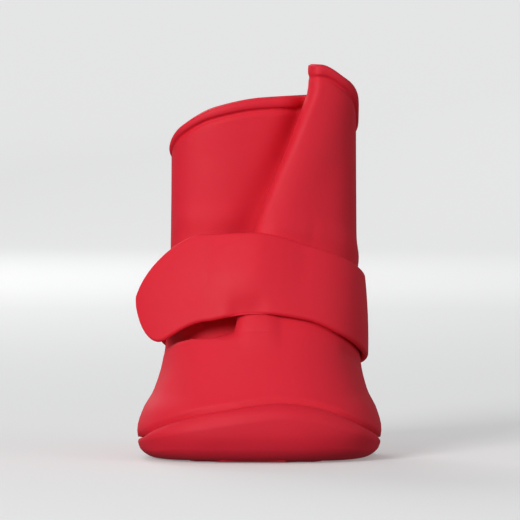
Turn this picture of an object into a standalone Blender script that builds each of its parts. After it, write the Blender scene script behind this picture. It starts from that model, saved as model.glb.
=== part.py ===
"""Dog rain boot for the right front paw: outsole, upper with its shaft, insole and ankle strap.

Toe towards -Y, the paw's inner (medial) side towards +X, up is +Z, the ground is z = 0.
Sizes are in millimetres and become metres where a mesh is made.
"""

import bpy
import bmesh
import numpy as np

MM = 0.001

# Driving sizes
FOOT_LENGTH = 54.5       # toe tip to the back of the heel
BALL_WIDTH = 52.4        # widest place, across the toes
INSTEP_HEIGHT = 40.0     # where the slope of the foot turns into the shaft
COLLAR_HEIGHT = 78.0     # front of the collar
HEEL_HEIGHT = 14.0       # fullest place of the heel
TOE_TIP = -28.5          # y of the toe tip

WALL = 1.5               # rubber of the upper
FIT_GAP = 0.3            # between pieces that touch

# Outline of the boot, a row per section.
# level: 0 the ground, 1 the instep height, 2 the collar height.
# toe, ball, heel: front, widest place and back, as parts of the foot length from the toe tip.
# width: part of the ball width. corner: 2 is an ellipse, more is squarer.
SECTION_COLUMNS = ("level", "toe", "ball", "heel", "width", "corner")
SECTIONS = (
    (0.00, 0.040, 0.440, 0.927, 0.931, 2.30),
    (0.08, 0.010, 0.440, 0.954, 0.981, 2.30),
    (0.15, 0.000, 0.440, 0.972, 1.000, 2.30),
    (0.25, 0.010, 0.459, 0.989, 0.960, 2.30),
    (HEEL_HEIGHT / INSTEP_HEIGHT, 0.066, 0.500, 0.998, 0.878, 2.30),
    (0.50, 0.147, 0.569, 1.000, 0.816, 2.30),
    (0.65, 0.222, 0.615, 1.002, 0.790, 2.30),
    (0.80, 0.292, 0.646, 1.009, 0.779, 2.35),
    (1.00, 0.366, 0.670, 1.015, 0.771, 2.40),
    (1.26, 0.414, 0.684, 1.010, 0.767, 2.45),
    (1.53, 0.436, 0.690, 0.983, 0.764, 2.50),
    (1.79, 0.449, 0.690, 0.948, 0.763, 2.50),
    (2.00, 0.456, 0.688, 0.923, 0.774, 2.50),
    (2.30, 0.462, 0.688, 0.905, 0.796, 2.50),
)

# The shaft's spare width is laid over to the outer side in one fold, a row per height.
# edge: x of the fold's free edge. turn: how far each bend turns, in degrees. tuck: flat run between.
FOLD_COLUMNS = ("height", "edge", "turn", "tuck")
FOLDS = (
    (24.5, -5.7, 0.0, 3.0),
    (26.0, -5.4, 14.0, 3.0),
    (27.5, -5.0, 62.0, 3.1),
    (29.0, -4.5, 98.0, 3.2),
    (33.0, -3.6, 114.0, 3.4),
    (40.0, -2.4, 134.0, 3.6),
    (50.0, -0.4, 158.0, 4.0),
    (58.0, 2.0, 168.0, 4.5),
    (66.0, 5.0, 172.0, 4.8),
    (74.5, 8.5, 173.0, 4.8),
    (78.5, 10.4, 173.0, 4.8),
    (81.0, 10.9, 173.0, 4.8),
    (88.0, 10.9, 173.0, 4.8),
)
FOLD_BEND = 3.3          # run of wall that each bend takes
FOLD_LEAD = 1.8          # from the start of the first bend to the fold's free edge
FOLD_DIP = 5.0           # how much lower the hollow beside the fold begins at the outer side

# Stations along the wall: 0 back of the heel, 1 start of the fold, 2 end of the fold, 3 back again.
COLLAR_COLUMNS = ("station", "height")
COLLAR = (
    (0.00, 70.0),
    (0.30, 69.6),
    (0.55, 72.5),
    (0.72, 78.0),
    (0.86, 81.6),
    (1.00, 84.3),
    (1.30, 84.4),
    (1.65, 80.5),
    (2.00, 78.0),
    (2.24, 77.2),
    (2.38, 75.2),
    (2.48, 71.4),
    (2.56, 67.2),
    (2.66, 65.6),
    (2.84, 67.6),
    (3.00, 70.0),
)
# Heights of the wall's level rows; above the last one the rows follow the collar.
LEVEL_ROWS = (18.0, 20.5, 22.5, 24.5, 26.0, 27.5, 29.0, 31.5, 35.5, 40.0, 45.0, 50.0, 55.0, 60.0)
BEAD_HEIGHT = 2.9        # thickened rim of the collar
BEAD_PROUD = 0.9
BEAD = (
    # below_rim, part_proud
    (2.3, 0.85),
    (0.9, 1.00),
    (0.0, 0.35),
)
RIM_ROUNDING = 0.25      # the rim's inner edge lies this much lower than its outer edge

# Outsole
TREAD_DEPTH = 1.2
PLATE_TOP = 2.4
RIM_BOTTOM = 0.3         # the cup wall stops just short of the ground
PLATE_INSETS = (13.0, 7.0, 3.4)   # rings of the underside between the lugs, in from the outline
RIM_INSETS = (3.0, 0.9)           # rings of the cup wall's foot
EDGE_ROUND = 1.2         # height of the rounding from the foot up to the cup wall's side
RAND_ROUND = 0.4         # rounding of the cup wall's top edge
RAND_PROUD = 0.4
RAND_WALL = 1.35
JOGGLE = RAND_WALL - RAND_PROUD + FIT_GAP   # the upper steps in by this inside the cup wall
JOGGLE_TOP = 0.25        # the step starts this far over the cup wall and takes this much height
JOGGLE_SLOPE = 0.9
TOE_SPRING = 0.8
TOE_SPRING_START = -17.0
HEEL_SPRING = 0.6
HEEL_SPRING_START = 17.7
HEEL_SPRING_END = 24.0
ARCH_RISE = 0.6
ARCH_MIDDLE = 5.0
ARCH_REACH = 4.6
LUG_MARGIN = 4.4
LUG_DRAFT = 0.5          # each side of a lug leans in by this much towards the ground
LUG_ROOT = 0.5           # how deep a lug goes into the plate
FAN_CENTRE = -2.0        # y of the middle point of the flat faces
# Top of the cup wall: a rand over the toe that falls to a low edge along the sides and heel.
# bearing: degrees from the toe, seen from the ball of the foot; the inner side is positive.
RAND_COLUMNS = ("bearing", "height")
RAND = (
    (-180.0, 3.4),
    (-115.0, 3.4),
    (-90.0, 3.8),
    (-67.0, 5.1),
    (-51.0, 8.0),
    (-34.0, 10.4),
    (-21.0, 11.3),
    (-9.0, 11.9),
    (3.0, 12.4),
    (15.0, 12.8),
    (27.0, 12.4),
    (37.0, 11.5),
    (52.0, 9.1),
    (67.0, 6.5),
    (90.0, 4.1),
    (115.0, 3.4),
    (180.0, 3.4),
)
LUGS = (
    # front, back: y of each bar's two sides
    (-24.4, -21.8),
    (-19.6, -16.4),
    (-14.0, -10.6),
    (-8.1, -4.7),
    (-2.2, 0.4),
    (9.6, 12.6),
    (14.6, 17.6),
    (18.9, 20.4),
)

INSOLE_THICKNESS = 1.5

# Ankle strap: a band round the ankle, from its root on the outer side round the heel and the inner
# side, over the instep, to a free rounded tab whose tip overlaps the root.
# turn: degrees from the back of the heel, through the inner side. low, high: its two edges.
STRAP_THICKNESS = 1.45
STRAP_GAP = 0.3
STRAP_COLUMNS = ("turn", "low", "high", "crown")
STRAP_EDGES = (
    (-128.0, 29.6, 41.2, 0.2),
    (-102.0, 26.4, 39.8, 0.2),
    (-70.0, 22.6, 38.2, 0.3),
    (0.0, 17.6, 35.8, 0.6),
    (55.0, 18.8, 37.0, 0.4),
    (90.0, 21.8, 39.2, 0.3),
    (125.0, 26.2, 42.6, 0.6),
    (155.0, 29.9, 45.5, 0.9),
    (180.0, 31.0, 47.0, 0.9),
    (204.0, 29.8, 47.2, 0.8),
)
TAB_LENGTH = 17.9
TAB_START_ANGLE = 8.0    # the tab's heading where it leaves the boot, degrees back from sideways
TAB_END_ANGLE = 40.0
TAB_TIP_HEIGHT = 33.5
TAB_DROP = 5.6           # how far its low edge falls
TAB_TOP_ROUND = 15.0     # length of the rounded end along the high edge and along the low edge
TAB_LOW_ROUND = 7.5
TAB_TOP_CORNER = 1.45    # 2 is an ellipse, less is more pointed
TAB_LOW_CORNER = 1.75
TAB_TIP_LEFT = 0.10      # part of its height left at the very tip
STRAP_PROFILE = (
    # across, part_thick
    (0.00, 0.55),
    (0.04, 1.00),
    (0.25, 1.00),
    (0.50, 1.00),
    (0.75, 1.00),
    (0.96, 1.00),
    (1.00, 0.55),
)

# How finely the forms are faceted.
WALL_STEPS = (27, 13, 33)   # stations per part of the wall
OUTLINE_STEPS = 720
STRAP_STEPS = 41
TAB_STEPS = (4, 8)          # straight stretch and rounded end
SHARP_ANGLE = 50.0


def smooth_table(columns, rows, at, name):
    """Read one named column by the first one, on a monotone cubic curve through the rows."""
    x = np.array([row[0] for row in rows])
    y = np.array([row[columns.index(name)] for row in rows])
    step = np.diff(x)
    slope = np.diff(y) / step
    before, after = slope[:-1], slope[1:]
    same_way = before * after > 0
    safe = np.where(same_way, before + after, 1.0)
    middle = np.where(same_way, 2 * before * after / safe, 0.0)
    tangent = np.concatenate([slope[:1], middle, slope[-1:]])
    place = np.clip(np.asarray(at, dtype=float), x[0], x[-1])
    i = np.clip(np.searchsorted(x, place, side="right") - 1, 0, len(x) - 2)
    t = (place - x[i]) / step[i]
    start = (1 + 2 * t) * (1 - t) ** 2 * y[i] + t * (1 - t) ** 2 * step[i] * tangent[i]
    end = t * t * (3 - 2 * t) * y[i + 1] + t * t * (t - 1) * step[i] * tangent[i + 1]
    return start + end


def smooth_step(t):
    """0 to 1 with level ends."""
    t = np.clip(t, 0.0, 1.0)
    return t * t * (3 - 2 * t)


def section(height):
    """Front, widest, back, half-width and corner of the boot's outline at a height."""
    height = np.asarray(height, dtype=float)
    above = 1 + (height - INSTEP_HEIGHT) / (COLLAR_HEIGHT - INSTEP_HEIGHT)
    level = np.where(height < INSTEP_HEIGHT, height / INSTEP_HEIGHT, above)
    toe, ball, heel, width, corner = (
        smooth_table(SECTION_COLUMNS, SECTIONS, level, name) for name in SECTION_COLUMNS[1:]
    )
    return (
        TOE_TIP + FOOT_LENGTH * toe,
        TOE_TIP + FOOT_LENGTH * ball,
        TOE_TIP + FOOT_LENGTH * heel,
        BALL_WIDTH / 2 * width,
        corner,
    )


def outline(turn, height):
    """Point and outward normal of the outline, by the angle turned from the heel, inner side first."""
    front, middle, back, half_width, corner = section(height)
    power = 2 / corner
    sine, cosine = np.sin(turn), np.cos(turn)
    reach = np.where(cosine > 0, back - middle, middle - front)
    across = np.sign(sine) * np.abs(sine) ** power
    along = np.sign(cosine) * np.abs(cosine) ** power
    point = np.stack([half_width * across, middle + reach * along], axis=-1)
    flat = 2 - power
    normal_x = np.sign(sine) * np.abs(sine) ** flat / half_width
    normal_y = np.sign(cosine) * np.abs(cosine) ** flat / reach
    normal = np.stack([normal_x, normal_y], axis=-1)
    return point, normal / np.linalg.norm(normal, axis=-1, keepdims=True)


def half_width_at(y, height):
    """Half-width of the outline at one place along the boot."""
    front, middle, back, half_width, corner = section(height)
    reach = back - middle if y > middle else middle - front
    return half_width * (1 - abs((y - middle) / reach) ** corner) ** (1 / corner)


def fold_path(height, steps):
    """The fold as distances along and inward, and the wall's turning: a bend, a flat run, a bend back."""
    turn = np.radians(smooth_table(FOLD_COLUMNS, FOLDS, height, "turn"))
    tuck = smooth_table(FOLD_COLUMNS, FOLDS, height, "tuck")
    run = np.linspace(0.0, 2 * FOLD_BEND + tuck, 400)
    bends = [0.0, FOLD_BEND, FOLD_BEND + tuck, 2 * FOLD_BEND + tuck]
    heading = turn * np.interp(run, bends, [0.0, 1.0, 1.0, 0.0])
    pace = run[1] - run[0]
    middle = (heading[1:] + heading[:-1]) / 2
    along = np.concatenate([[0.0], np.cumsum(np.cos(middle) * pace)])
    inward = np.concatenate([[0.0], np.cumsum(np.sin(middle) * pace)])
    bend_steps = (steps - 3) // 2
    stops = np.concatenate(
        [
            np.linspace(bends[0], bends[1], bend_steps + 1),
            [(bends[1] + bends[2]) / 2],
            np.linspace(bends[2], bends[3], bend_steps + 1),
        ]
    )
    return [np.interp(stops, run, values) for values in (along, inward, heading)]


def wall_section(height):
    """Middle of the wall round one level section, with its outward normals, station by station."""
    back_steps, fold_steps, front_steps = WALL_STEPS
    turn = np.linspace(0.0, 2 * np.pi, OUTLINE_STEPS + 1)
    point, normal = outline(turn, height)
    point = point - normal * WALL / 2
    length = np.concatenate([[0.0], np.cumsum(np.linalg.norm(np.diff(point, axis=0), axis=1))])
    edge = smooth_table(FOLD_COLUMNS, FOLDS, height, "edge")
    inner_side, outer_side = OUTLINE_STEPS // 4, OUTLINE_STEPS * 3 // 4
    front = slice(inner_side, outer_side + 1)
    fold_start = np.interp(-(edge + FOLD_LEAD), -point[front, 0], length[front])
    along, inward, heading = fold_path(height, fold_steps)
    along = fold_start + along
    rest = np.linspace(along[-1], length[-1], front_steps + 1)[1:-1]
    settled = smooth_step((rest - along[-1]) / (length[outer_side] - along[-1]))
    hollow = fold_path(height + FOLD_DIP, fold_steps)[1][-1]
    depth = inward[-1] + (hollow - inward[-1]) * settled
    place = np.concatenate([np.linspace(0.0, fold_start, back_steps + 1)[:-1], along, rest])
    sunk = np.concatenate([np.zeros(back_steps), inward, depth * (1 - settled)])
    heading = np.concatenate([np.zeros(back_steps), heading, np.zeros(front_steps - 1)])

    at = np.stack([np.interp(place, length, point[:, k]) for k in (0, 1)], axis=-1)
    out = np.stack([np.interp(place, length, normal[:, k]) for k in (0, 1)], axis=-1)
    out /= np.linalg.norm(out, axis=-1, keepdims=True)
    ahead = np.stack([out[:, 1], -out[:, 0]], axis=-1)
    at = at - out * sunk[:, None]
    facing = out * np.cos(heading)[:, None] + ahead * np.sin(heading)[:, None]
    return at, facing


def wall_stations():
    """Station number of every column of the wall."""
    back_steps, fold_steps, front_steps = WALL_STEPS
    return np.concatenate(
        [
            np.linspace(0, 1, back_steps + 1)[:-1],
            np.linspace(1, 2, fold_steps),
            np.linspace(2, 3, front_steps + 1)[1:-1],
        ]
    )


SLICE_HEIGHTS = np.arange(0.0, 91.0, 1.0)
SLICES = [wall_section(height) for height in SLICE_HEIGHTS]
SLICE_POINTS = np.array([at for at, _ in SLICES])
SLICE_NORMALS = np.array([facing for _, facing in SLICES])
SLICE_LEAN = np.gradient(SLICE_POINTS, SLICE_HEIGHTS, axis=0)
STATIONS = wall_stations()


def wall_rows(heights, outward):
    """Rows of wall points at heights (rows, stations), set out from the middle of the wall.

    The distance is measured square to the sloping wall, so a slope keeps its thickness.
    """
    heights = np.broadcast_to(heights, (len(heights), len(STATIONS)))
    outward = np.broadcast_to(outward, heights.shape)
    columns = range(len(STATIONS))

    def read(table, k):
        return np.stack(
            [np.interp(heights[:, j], SLICE_HEIGHTS, table[:, j, k]) for j in columns], axis=1
        )

    x, y = read(SLICE_POINTS, 0), read(SLICE_POINTS, 1)
    facing_x, facing_y = read(SLICE_NORMALS, 0), read(SLICE_NORMALS, 1)
    size = np.hypot(facing_x, facing_y)
    facing_x, facing_y = facing_x / size, facing_y / size
    slope = facing_x * read(SLICE_LEAN, 0) + facing_y * read(SLICE_LEAN, 1)
    reach = outward * np.sqrt(1 + slope**2)
    return np.stack([x + facing_x * reach, y + facing_y * reach, heights], axis=-1)


def rand_height():
    """Top of the outsole's cup wall at every station: high at the toe, low along the sides."""
    foot = wall_rows(np.full((1, 1), 6.0), 0.0)[0]
    ball = TOE_TIP + FOOT_LENGTH * SECTIONS[2][SECTION_COLUMNS.index("ball")]
    bearing = np.degrees(np.arctan2(foot[:, 0], ball - foot[:, 1]))
    return smooth_table(RAND_COLUMNS, RAND, bearing, "height")


def spring(y):
    """How far the tread lifts off the ground towards the toe and the heel."""
    toe = np.clip((TOE_SPRING_START - y) / (TOE_SPRING_START - TOE_TIP), 0, 1) ** 2
    heel = np.clip((y - HEEL_SPRING_START) / (HEEL_SPRING_END - HEEL_SPRING_START), 0, 1) ** 2
    return TOE_SPRING * toe + HEEL_SPRING * heel


def plate_bottom(y):
    """Underside of the outsole between its lugs, with the arch."""
    arch = np.clip(1 - ((y - ARCH_MIDDLE) / ARCH_REACH) ** 2, 0, 1)
    return TREAD_DEPTH + spring(y) + ARCH_RISE * arch


def rubber(name, colour, roughness):
    """Principled material of a moulded piece."""
    material = bpy.data.materials.new(name)
    material.use_nodes = True
    shader = material.node_tree.nodes["Principled BSDF"]
    shader.inputs["Base Color"].default_value = (*colour, 1.0)
    shader.inputs["Roughness"].default_value = roughness
    shader.inputs["Metallic"].default_value = 0.0
    return material


def make_piece(name, points, faces, material):
    """One closed solid from points in millimetres."""
    mesh = bpy.data.meshes.new(name)
    mesh.from_pydata([tuple(p) for p in np.asarray(points) * MM], [], faces)
    shape = bmesh.new()
    shape.from_mesh(mesh)
    bmesh.ops.triangulate(shape, faces=[f for f in shape.faces if len(f.verts) > 4])
    bmesh.ops.recalc_face_normals(shape, faces=shape.faces)
    shape.to_mesh(mesh)
    shape.free()
    mesh.materials.append(material)
    mesh.shade_smooth()
    mesh.set_sharp_from_angle(angle=np.radians(SHARP_ANGLE))
    piece = bpy.data.objects.new(name, mesh)
    bpy.context.scene.collection.objects.link(piece)
    return piece


def ring_faces(rows, columns, closed_rows):
    """Quads between rings of points; closed_rows joins the last ring to the first."""
    faces = []
    for i in range(rows if closed_rows else rows - 1):
        below, above = i * columns, (i + 1) % rows * columns
        for j in range(columns):
            k = (j + 1) % columns
            faces.append((below + j, above + j, above + k, below + k))
    return faces


def make_upper(material):
    """Hollow shell of foot and shaft: a loop of rows up the outside, over the rim, down the inside."""
    rand = rand_height()
    collar = smooth_table(COLLAR_COLUMNS, COLLAR, STATIONS, "height")
    floor = PLATE_TOP + FIT_GAP
    rows, joggle, bead = [], [], []

    def add_row(height, sunk=0.0, proud=0.0):
        rows.append(height + np.zeros(len(STATIONS)))
        joggle.append(sunk)
        bead.append(proud)

    for part in (0.0, 0.34, 0.67, 1.0):
        add_row(floor + (rand + JOGGLE_TOP - floor) * part, sunk=JOGGLE)
    over_rand = rand + JOGGLE_TOP + JOGGLE_SLOPE
    for part in (0.0, 0.45, 1.0):
        add_row(over_rand + (LEVEL_ROWS[0] - over_rand) * part)
    for height in LEVEL_ROWS[1:]:
        add_row(height)
    for part in (0.5, 1.0):
        add_row(LEVEL_ROWS[-1] + (collar - BEAD_HEIGHT - LEVEL_ROWS[-1]) * part)
    for below_rim, part_proud in BEAD:
        add_row(collar - below_rim, proud=part_proud)

    rows, joggle, bead = np.array(rows), np.array(joggle)[:, None], np.array(bead)[:, None]
    outer = wall_rows(rows, WALL / 2 - joggle + bead * BEAD_PROUD)
    inner = wall_rows(rows, -WALL / 2 - joggle)
    inner[-1, :, 2] -= RIM_ROUNDING
    points = np.concatenate([outer, inner[::-1]])
    count = len(STATIONS)
    return make_piece(
        "upper", points.reshape(-1, 3), ring_faces(len(points), count, True), material
    )


def close_with_fan(points, faces, ring, height, columns):
    """Close the ring that starts at point number ring with a fan to one middle point."""
    points.append((0.0, FAN_CENTRE, height))
    middle = len(points) - 1
    faces.extend((ring + j, ring + (j + 1) % columns, middle) for j in range(columns))


def make_outsole(material):
    """Cup sole: underside, rounded edge, cup wall with the toe rand, and the plate inside."""
    rand = rand_height()
    count = len(STATIONS)
    rings = []

    def ring(height, out):
        rings.append(wall_rows((height + np.zeros(count))[None, :], WALL / 2 + out)[0])

    for inset in PLATE_INSETS:
        ring(TREAD_DEPTH, -inset)
        rings[-1][:, 2] = plate_bottom(rings[-1][:, 1])
    for inset in RIM_INSETS:
        ring(RIM_BOTTOM, -inset)
        rings[-1][:, 2] = RIM_BOTTOM + spring(rings[-1][:, 1])
    foot = rings[-1][:, 2]
    side = foot + EDGE_ROUND
    ring(foot + EDGE_ROUND / 3, (RAND_PROUD - RIM_INSETS[-1]) / 3)
    ring(side, RAND_PROUD)
    for part in (0.33, 0.67, 1.0):
        ring(side + (rand - RAND_ROUND - side) * part, RAND_PROUD)
    ring(rand, RAND_PROUD - RAND_ROUND)
    for part in (1.0, 0.67, 0.34, 0.0):
        ring(PLATE_TOP + (rand - PLATE_TOP) * part, RAND_PROUD - RAND_WALL)

    points = [tuple(p) for p in np.concatenate(rings)]
    faces = ring_faces(len(rings), count, False)
    close_with_fan(points, faces, 0, float(plate_bottom(FAN_CENTRE)), count)
    close_with_fan(points, faces, (len(rings) - 1) * count, PLATE_TOP, count)
    sole = make_piece("outsole", points, faces, material)

    union = sole.modifiers.new("lugs", "BOOLEAN")
    union.operation = "UNION"
    union.solver = "EXACT"
    union.object = make_lugs(material)
    return sole


def make_lugs(material):
    """Cross bars of the tread as one cutter mesh, each following the outline at its ends."""
    points, faces = [], []
    for front, back in LUGS:
        lift = float(spring((front + back) / 2))
        first = len(points)
        for height, inset in ((lift, LUG_DRAFT), (TREAD_DEPTH + lift + LUG_ROOT, 0.0)):
            for y, toward in ((front, 1), (back, -1)):
                reach = half_width_at(y, TREAD_DEPTH) - LUG_MARGIN - inset
                for side in (-1, 1):
                    points.append((side * reach, y + toward * inset, height))
        quads = ((0, 1, 3, 2), (4, 6, 7, 5), (0, 4, 5, 1), (2, 3, 7, 6), (0, 2, 6, 4), (1, 5, 7, 3))
        faces.extend(tuple(first + k for k in quad) for quad in quads)
    lugs = make_piece("lug_shapes", points, faces, material)
    lugs.hide_render = True
    lugs.display_type = "WIRE"
    return lugs


def make_insole(material):
    """Thin footbed that fills the foot of the upper."""
    count = len(STATIONS)
    base = PLATE_TOP + FIT_GAP
    low = wall_rows(np.full((1, count), base), -WALL / 2 - JOGGLE - FIT_GAP)[0]
    high = low + [0.0, 0.0, INSOLE_THICKNESS]
    points = [tuple(p) for p in np.concatenate([low, high])]
    faces = ring_faces(2, count, False)
    close_with_fan(points, faces, 0, base, count)
    close_with_fan(points, faces, count, base + INSOLE_THICKNESS, count)
    return make_piece("insole", points, faces, material)


def strap_wrap(turns, parts):
    """The part of the band that hugs the boot: points by (part across, turn), and their normals."""
    degrees = np.degrees(turns)
    low, high, crown = (
        smooth_table(STRAP_COLUMNS, STRAP_EDGES, degrees, name) for name in STRAP_COLUMNS[1:]
    )
    off = STRAP_GAP + STRAP_THICKNESS / 2
    low_point, low_normal = outline(turns, low)
    high_point, high_normal = outline(turns, high)
    part = parts[:, None, None]
    normal = low_normal * (1 - part) + high_normal * part
    plan = low_point * (1 - part) + high_point * part
    plan = plan + normal * (off + crown[:, None] * 4 * part * (1 - part))
    height = low + (high - low) * parts[:, None]
    points = np.concatenate([plan, height[:, :, None]], axis=-1)
    out = np.cross(np.gradient(points, axis=1), np.gradient(points, axis=0))
    return points, out / np.linalg.norm(out, axis=-1, keepdims=True)


def strap_tab(edge_points, runs, parts):
    """The free tab: the band's last line carried along an arc that stands off, with a rounded end."""
    fine = np.linspace(0.0, TAB_LENGTH, 201)
    heading = np.radians(
        TAB_START_ANGLE + (TAB_END_ANGLE - TAB_START_ANGLE) * fine / TAB_LENGTH
    )
    pace = fine[1]
    sideways = -np.concatenate([[0.0], np.cumsum(np.cos(heading[1:]) * pace)])
    backward = np.concatenate([[0.0], np.cumsum(np.sin(heading[1:]) * pace)])

    def rounding(length, corner):
        into = np.clip((runs - TAB_LENGTH + length) / length, 0, 1)
        return np.maximum((1 - into**corner) ** (1 / corner), TAB_TIP_LEFT)

    low_end, high_end = edge_points[0, 2], edge_points[-1, 2]
    low_line = low_end - TAB_DROP * smooth_step(runs / TAB_LENGTH * 0.9)
    high_round = rounding(TAB_TOP_ROUND, TAB_TOP_CORNER)
    low_round = rounding(TAB_LOW_ROUND, TAB_LOW_CORNER)
    high = TAB_TIP_HEIGHT + (high_end - TAB_TIP_HEIGHT) * high_round
    low = TAB_TIP_HEIGHT - (TAB_TIP_HEIGHT - low_line) * low_round
    height = low + (high - low) * parts[:, None]
    lean = (edge_points[-1, :2] - edge_points[0, :2]) / (high_end - low_end)
    middle = edge_points[len(parts) // 2]
    bulge = middle[:2] - edge_points[0, :2] - lean * (middle[2] - low_end)
    across = (height - low_end) / (high_end - low_end)
    swell = 4 * across * (1 - across)
    x = edge_points[0, 0] + lean[0] * (height - low_end) + bulge[0] * swell
    y = edge_points[0, 1] + lean[1] * (height - low_end) + bulge[1] * swell
    x = x + np.interp(runs, fine, sideways)
    y = y + np.interp(runs, fine, backward)
    points = np.stack([x, y, height], axis=-1)
    at = np.interp(runs, fine, heading)
    steep = 4 * (1 - 2 * across) / (high_end - low_end)
    ahead = np.stack([-np.cos(at), np.sin(at), np.zeros_like(at)], axis=-1)
    up = np.stack(
        [lean[0] + bulge[0] * steep, lean[1] + bulge[1] * steep, np.ones_like(steep)], axis=-1
    )
    out = np.cross(np.broadcast_to(ahead, up.shape), up)
    return points, out / np.linalg.norm(out, axis=-1, keepdims=True)


def make_strap(material):
    """Ankle strap: its middle surface, thickened both ways with rounded edges."""
    turns = np.radians(np.linspace(STRAP_EDGES[0][0], STRAP_EDGES[-1][0], STRAP_STEPS + 1))
    straight = np.linspace(0, TAB_LENGTH - TAB_TOP_ROUND, TAB_STEPS[0])[1:]
    round_turn = np.linspace(0, np.pi / 2, TAB_STEPS[1])[1:]
    rounded = TAB_LENGTH - TAB_TOP_ROUND * (1 - np.sin(round_turn))
    parts, thick = np.array(STRAP_PROFILE).T
    wrap, wrap_out = strap_wrap(turns, parts)
    tab, tab_out = strap_tab(wrap[:, -1], np.concatenate([straight, rounded]), parts)
    middle = np.concatenate([wrap, tab], axis=1)
    out = np.concatenate([wrap_out, tab_out], axis=1)
    half = thick[:, None, None] * STRAP_THICKNESS / 2
    loops = np.concatenate([middle + out * half, (middle - out * half)[::-1]]).transpose(1, 0, 2)
    steps, size = loops.shape[:2]
    faces = ring_faces(steps, size, False)
    for start in (0, (steps - 1) * size):
        for k in range(len(parts) - 1):
            faces.append((start + k, start + k + 1, start + size - 2 - k, start + size - 1 - k))
    return make_piece("strap", loops.reshape(-1, 3), faces, material)


def main():
    for old in list(bpy.data.objects):
        bpy.data.objects.remove(old, do_unlink=True)
    red = rubber("moulded_red_rubber", (0.68, 0.035, 0.055), 0.5)
    sole_red = rubber("moulded_red_sole_rubber", (0.62, 0.03, 0.05), 0.55)
    strap_red = rubber("moulded_red_strap_rubber", (0.70, 0.04, 0.06), 0.5)
    foam = rubber("charcoal_foam", (0.03, 0.03, 0.035), 0.9)
    make_outsole(sole_red)
    make_upper(red)
    make_insole(foam)
    make_strap(strap_red)


main()
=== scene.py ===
"""Looks of the dog rain boot for the right front paw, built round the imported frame.

Toe towards -Y, the paw's inner (medial) side towards +X, up is +Z, the ground is z = 0.
Sizes are in millimetres and become metres where a mesh is made.
"""

import math

import bpy
import numpy as np
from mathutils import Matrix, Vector


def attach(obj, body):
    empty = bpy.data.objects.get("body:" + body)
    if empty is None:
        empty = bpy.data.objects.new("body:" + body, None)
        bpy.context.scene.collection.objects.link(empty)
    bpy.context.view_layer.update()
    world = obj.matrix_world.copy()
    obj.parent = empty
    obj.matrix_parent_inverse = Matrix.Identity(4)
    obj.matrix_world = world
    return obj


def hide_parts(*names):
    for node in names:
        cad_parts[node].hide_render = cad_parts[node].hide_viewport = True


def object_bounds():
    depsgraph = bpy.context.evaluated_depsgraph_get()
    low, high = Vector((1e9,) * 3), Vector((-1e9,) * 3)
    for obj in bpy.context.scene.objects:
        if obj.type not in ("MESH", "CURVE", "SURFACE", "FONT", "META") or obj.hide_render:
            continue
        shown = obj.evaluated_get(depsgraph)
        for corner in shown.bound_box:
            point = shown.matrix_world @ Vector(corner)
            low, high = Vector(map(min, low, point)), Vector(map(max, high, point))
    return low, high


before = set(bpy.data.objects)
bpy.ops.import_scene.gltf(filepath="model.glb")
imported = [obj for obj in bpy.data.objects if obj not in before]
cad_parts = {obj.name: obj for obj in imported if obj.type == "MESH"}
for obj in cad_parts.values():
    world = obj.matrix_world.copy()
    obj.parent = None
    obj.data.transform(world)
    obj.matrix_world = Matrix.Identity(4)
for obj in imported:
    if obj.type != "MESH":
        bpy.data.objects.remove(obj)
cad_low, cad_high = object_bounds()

# ----------------------------------------------------------------------------------------------
# Upper and shaft. One hollow shell of soft PVC rubber, moulded whole on a last: a stubby foot
# that runs straight into a shaft with a rolled rim. The shaft's spare width is laid over to the
# outer side in one fold, and the ankle strap pinches it there.
# ----------------------------------------------------------------------------------------------

FOOT_LENGTH = 54.5
BALL_WIDTH = 52.4
INSTEP_HEIGHT = 40.0
COLLAR_HEIGHT = 78.0
HEEL_HEIGHT = 14.0
TOE_TIP = -28.5
WALL = 1.5
FIT_GAP = 0.3

# level: 0 the ground, 1 the instep height, 2 the collar height. toe, ball, heel: front, widest
# place and back, as parts of the foot length from the toe tip. width: part of the ball width.
# corner: 2 is an ellipse, more is squarer.
SECTION_COLUMNS = ("level", "toe", "ball", "heel", "width", "corner")
SECTIONS = (
    (0.00, 0.040, 0.440, 0.927, 0.931, 2.30),
    (0.08, 0.010, 0.440, 0.954, 0.981, 2.30),
    (0.15, 0.000, 0.440, 0.972, 1.000, 2.30),
    (0.25, 0.010, 0.459, 0.989, 0.960, 2.30),
    (HEEL_HEIGHT / INSTEP_HEIGHT, 0.066, 0.500, 0.998, 0.878, 2.30),
    (0.50, 0.147, 0.569, 1.000, 0.816, 2.30),
    (0.65, 0.222, 0.615, 1.002, 0.790, 2.30),
    (0.80, 0.292, 0.646, 1.009, 0.779, 2.35),
    (1.00, 0.366, 0.670, 1.015, 0.771, 2.40),
    (1.26, 0.414, 0.684, 1.010, 0.767, 2.45),
    (1.53, 0.436, 0.690, 0.983, 0.764, 2.50),
    (1.79, 0.449, 0.690, 0.948, 0.763, 2.50),
    (2.00, 0.456, 0.688, 0.923, 0.774, 2.50),
    (2.30, 0.462, 0.688, 0.905, 0.796, 2.50),
)

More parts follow.
